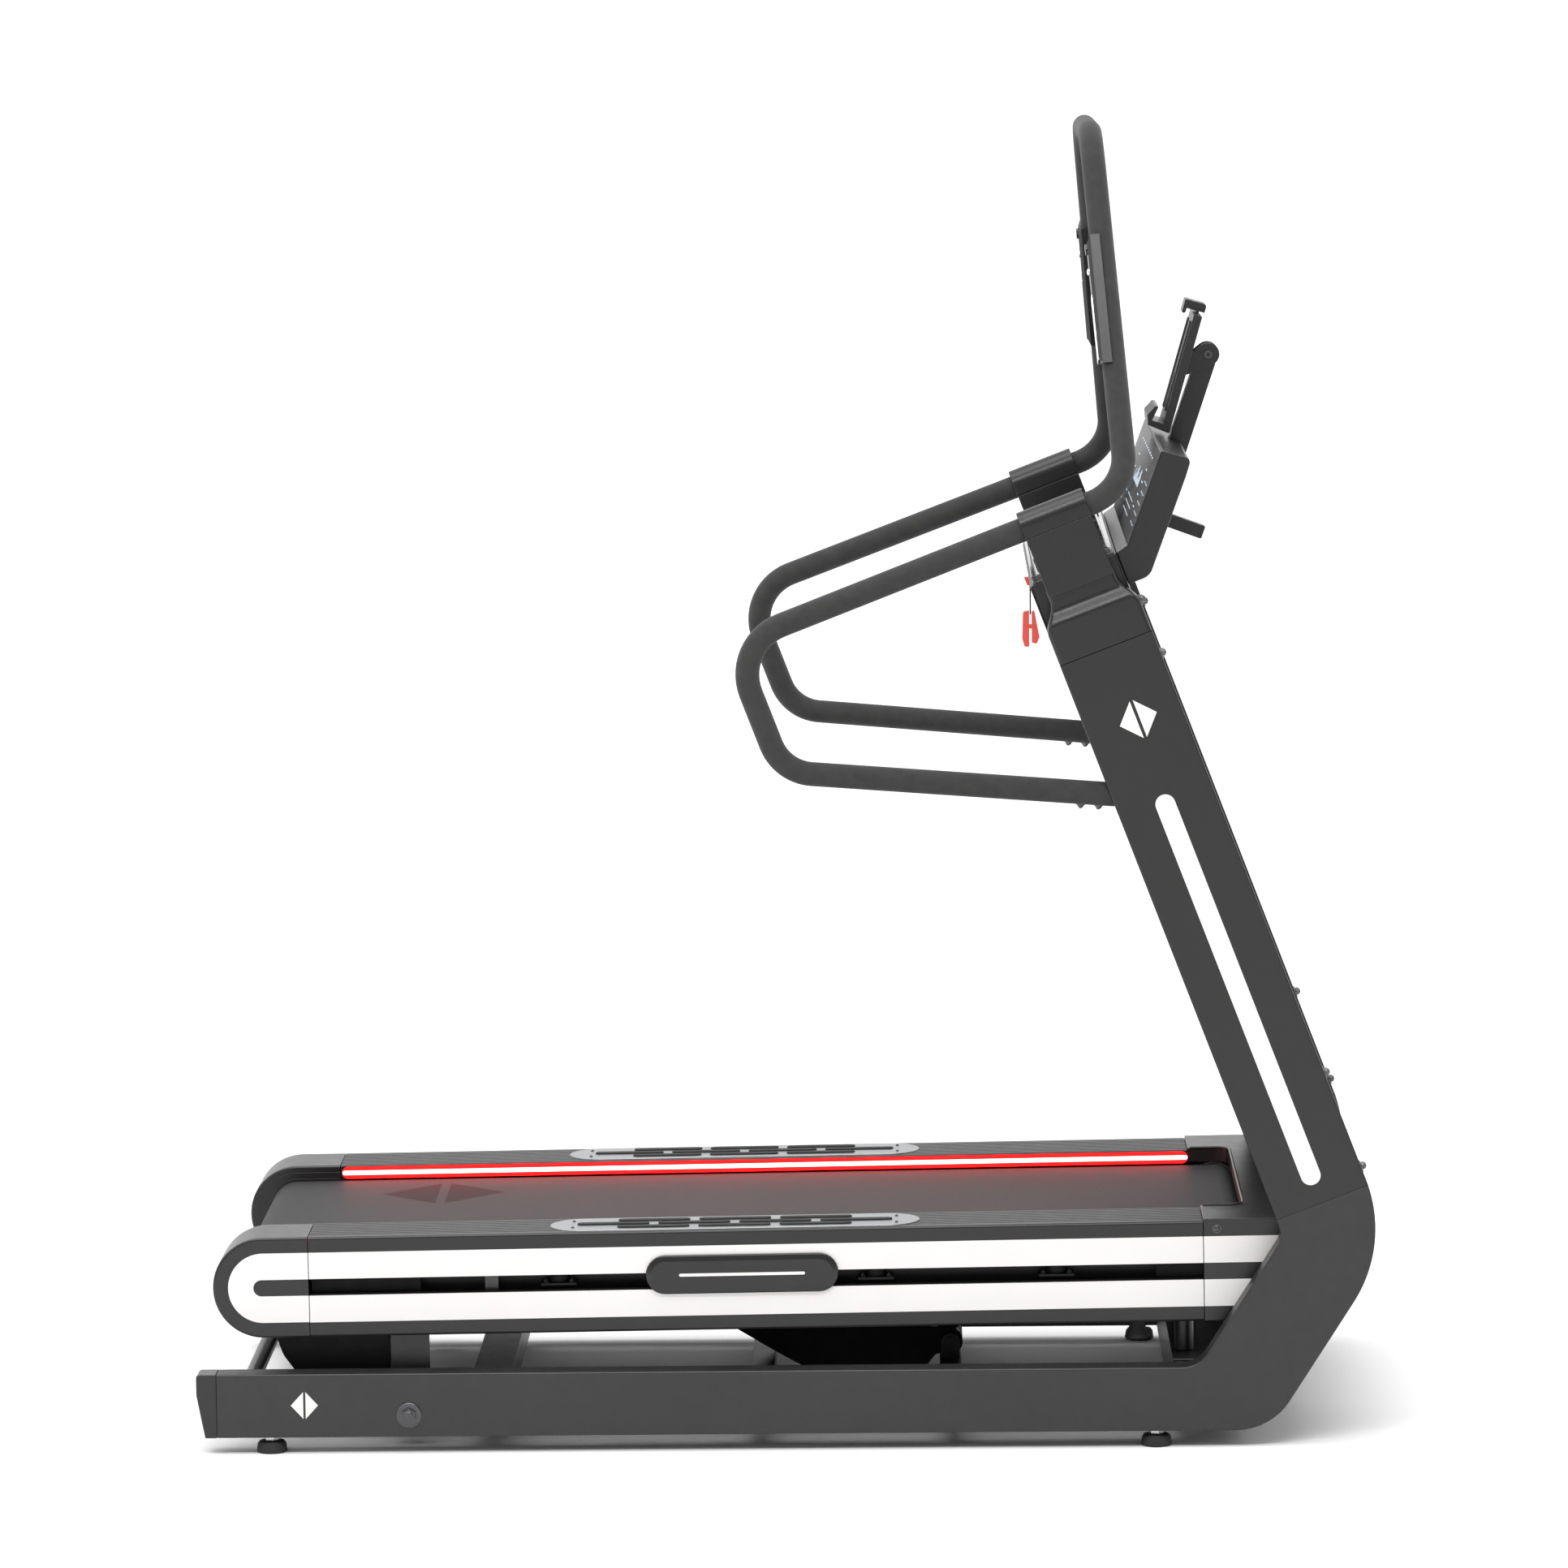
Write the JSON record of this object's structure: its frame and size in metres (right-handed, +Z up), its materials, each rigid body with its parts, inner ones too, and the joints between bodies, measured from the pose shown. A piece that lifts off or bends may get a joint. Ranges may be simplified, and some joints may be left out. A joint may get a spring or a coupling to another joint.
{
  "type": "treadmill",
  "caption": "Motorised high-incline treadmill with a raised running deck, C-shaped side frames, leaning uprights, console, side handles and a tall overhead bar.",
  "frame": {"origin": "on the floor, under the middle of the machine's footprint", "axes": "+X towards the console, +Y to the runner's left when facing the console, +Z up"},
  "size_m": [1.72, 0.885, 1.9207],
  "materials": {
    "frame_paint": "satin black powder coat",
    "moulded_plastic": "satin black moulding",
    "console_gloss": "gloss black",
    "grip_foam": "matt dark grey foam rubber",
    "bare_steel": "zinc plated",
    "chrome": "polished",
    "motor_paint": "gloss black",
    "belt_pvc": "fine woven texture",
    "black_rubber": "matt",
    "deck_wood": "waxed fibreboard",
    "safety_red": "satin",
    "white_band": "satin white",
    "silver_pad": "satin",
    "led_strip": "lit diffuser"
  },
  "bodies": {
    "base": {"side_frame_right": "frame_paint", "side_frame_left": "frame_paint", "rail_end_cap_right": "moulded_plastic", "rail_end_cap_left": "moulded_plastic", "rear_cross_tube": "frame_paint", "cross_beam_rear": "frame_paint", "cross_beam_middle": "frame_paint", "cross_beam_front": "frame_paint", "front_floor_pan": "frame_paint", "upright_right": "frame_paint", "upright_left": "frame_paint", "front_cross_panel": "frame_paint", "upright_head_right": "moulded_plastic", "upright_head_left": "moulded_plastic", "console_beam": "frame_paint", "handle_right": "grip_foam", "handle_left": "grip_foam", "tall_bar": "grip_foam", "pod_right": "moulded_plastic", "pod_left": "moulded_plastic", "deck_pivot_bolt_right": "bare_steel", "deck_pivot_bolt_left": "bare_steel", "console_housing": "moulded_plastic", "console_glass": "console_gloss", "accessory_hook": "frame_paint", "tablet_arm": "moulded_plastic", "power_inlet": "moulded_plastic", "lift_motor": "motor_paint"},
    "deck": {"deck_frame": "frame_paint", "deck_board": "deck_wood", "deck_rail_right": "frame_paint", "deck_rail_left": "frame_paint", "deck_skirt_right": "frame_paint", "deck_skirt_left": "frame_paint", "rear_cap_right": "moulded_plastic", "rear_cap_left": "moulded_plastic", "motor_hood": "moulded_plastic", "running_belt": "belt_pvc", "rear_belly_cover": "frame_paint", "drive_motor": "motor_paint", "drive_belt": "black_rubber"},
    "front_roller": {"front_roller": "bare_steel"},
    "rear_roller": {"rear_roller": "bare_steel"},
    "motor_pulley": {"motor_pulley": "bare_steel"},
    "lift_arm": {"lift_arm": "frame_paint"},
    "lift_screw": {"lift_screw": "bare_steel"},
    "tablet_holder": {"tablet_holder": "moulded_plastic"},
    "tablet_grip": {"tablet_grip": "moulded_plastic"},
    "oval_button_right": {"oval_button_right": "console_gloss"},
    "ball_button_right": {"ball_button_right": "chrome"},
    "oval_button_left": {"oval_button_left": "console_gloss"},
    "ball_button_left": {"ball_button_left": "chrome"},
    "safety_tether": {"safety_key": "safety_red", "safety_cord": "black_rubber", "safety_clip": "safety_red"},
    "power_switch": {"power_switch": "moulded_plastic"},
    "foot_rear_right": {"foot_rear_right": "black_rubber"},
    "foot_rear_left": {"foot_rear_left": "black_rubber"},
    "foot_front_right": {"foot_front_right": "black_rubber"},
    "foot_front_left": {"foot_front_left": "black_rubber"}
  },
  "joints": [
    {"name": "deck_incline", "type": "hinge", "parent": "base", "child": "deck", "pos_m": [-0.5495, 0, 0.0565], "axis": [0, -1, 0], "range_deg": [0, 11.3]},
    {"name": "lift_arm_swing", "type": "hinge", "parent": "base", "child": "lift_arm", "pos_m": [0.243, 0, 0.085], "axis": [0, 1, 0], "range_deg": [0, 15.1]},
    {"name": "lift_screw_pull", "type": "slide", "parent": "base", "child": "lift_screw", "axis": [1, 0, 0], "range_m": [0, 0.0225]},
    {"name": "front_roller_spin", "type": "hinge", "parent": "deck", "child": "front_roller", "pos_m": [0.65294, 0, 0.26299], "axis": [0, -1, 0], "continuous": true},
    {"name": "rear_roller_spin", "type": "hinge", "parent": "deck", "child": "rear_roller", "pos_m": [-0.76399, 0, 0.2484], "axis": [0, -1, 0], "continuous": true},
    {"name": "motor_spin", "type": "hinge", "parent": "deck", "child": "motor_pulley", "pos_m": [0.74812, 0, 0.24537], "axis": [0, -1, 0], "continuous": true},
    {"name": "tablet_tilt", "type": "hinge", "parent": "base", "child": "tablet_holder", "pos_m": [0.639, 0, 1.569], "axis": [0, 1, 0], "range_deg": [0, 25]},
    {"name": "tablet_grip_slide", "type": "slide", "parent": "tablet_holder", "child": "tablet_grip", "axis": [0.2773, 0, 0.9608], "range_m": [0, 0.035]},
    {"name": "oval_button_right_press", "type": "slide", "parent": "base", "child": "oval_button_right", "axis": [0.9966, 0.0284, 0.0773], "range_m": [0, 0.0015], "stiffness_N_per_m": 500, "springref_m": -0.001},
    {"name": "ball_button_right_press", "type": "slide", "parent": "base", "child": "ball_button_right", "axis": [0.9966, 0.0284, 0.0773], "range_m": [0, 0.0015], "stiffness_N_per_m": 500, "springref_m": -0.001},
    {"name": "oval_button_left_press", "type": "slide", "parent": "base", "child": "oval_button_left", "axis": [0.9966, -0.0284, 0.0773], "range_m": [0, 0.0015], "stiffness_N_per_m": 500, "springref_m": -0.001},
    {"name": "ball_button_left_press", "type": "slide", "parent": "base", "child": "ball_button_left", "axis": [0.9966, -0.0284, 0.0773], "range_m": [0, 0.0015], "stiffness_N_per_m": 500, "springref_m": -0.001},
    {"name": "safety_key_pull", "type": "slide", "parent": "base", "child": "safety_tether", "axis": [-1, 0, 0], "range_m": [0, 0.03]},
    {"name": "power_switch_rock", "type": "hinge", "parent": "base", "child": "power_switch", "pos_m": [0.694, -0.224, 0.0785], "axis": [0, 1, 0], "range_deg": [-8, 8]},
    {"name": "foot_rear_right_turn", "type": "hinge", "parent": "base", "child": "foot_rear_right", "pos_m": [-0.7524, -0.4025, 0], "axis": [0, 0, 1], "continuous": true},
    {"name": "foot_rear_left_turn", "type": "hinge", "parent": "base", "child": "foot_rear_left", "pos_m": [-0.7524, 0.4025, 0], "axis": [0, 0, 1], "continuous": true},
    {"name": "foot_front_right_turn", "type": "hinge", "parent": "base", "child": "foot_front_right", "pos_m": [0.541, -0.4025, 0], "axis": [0, 0, 1], "continuous": true},
    {"name": "foot_front_left_turn", "type": "hinge", "parent": "base", "child": "foot_front_left", "pos_m": [0.541, 0.4025, 0], "axis": [0, 0, 1], "continuous": true}
  ],
  "couplings": [
    {"joint": "lift_arm_swing", "follows": "deck_incline", "ratio": 1.33},
    {"joint": "lift_screw_pull", "follows": "deck_incline", "m_per_rad": 0.1127},
    {"joint": "rear_roller_spin", "follows": "front_roller_spin", "ratio": 1},
    {"joint": "motor_spin", "follows": "front_roller_spin", "ratio": 2.2222}
  ]
}
